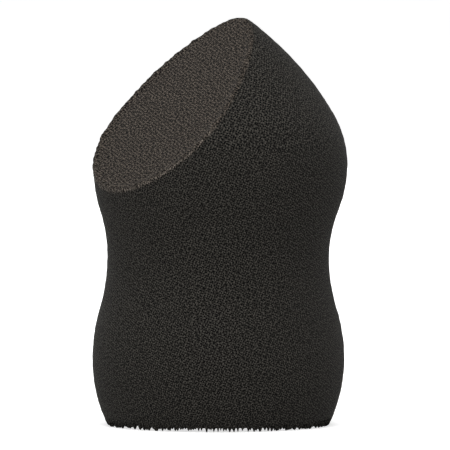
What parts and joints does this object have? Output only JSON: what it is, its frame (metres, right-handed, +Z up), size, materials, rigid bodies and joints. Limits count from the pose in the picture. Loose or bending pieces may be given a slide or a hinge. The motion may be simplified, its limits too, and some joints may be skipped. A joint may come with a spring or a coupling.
{
  "type": "makeup sponge",
  "caption": "Gourd-shaped cosmetic foam sponge with a narrowed waist to hold, a flat base and a slanted flat face at the tip for blending makeup.",
  "frame": {"origin": "centre of the flat base, on the surface that the sponge stands on", "axes": "+Z up the gourd's axis towards the tip, the slanted blending face looks towards -Y and up, +X to the right of it"},
  "size_m": [0.04, 0.0399, 0.0641],
  "materials": {
    "foam": "matte fine open-cell polyurethane foam, charcoal black"
  },
  "bodies": {
    "root": {"sponge_body": "foam"}
  },
  "joints": []
}
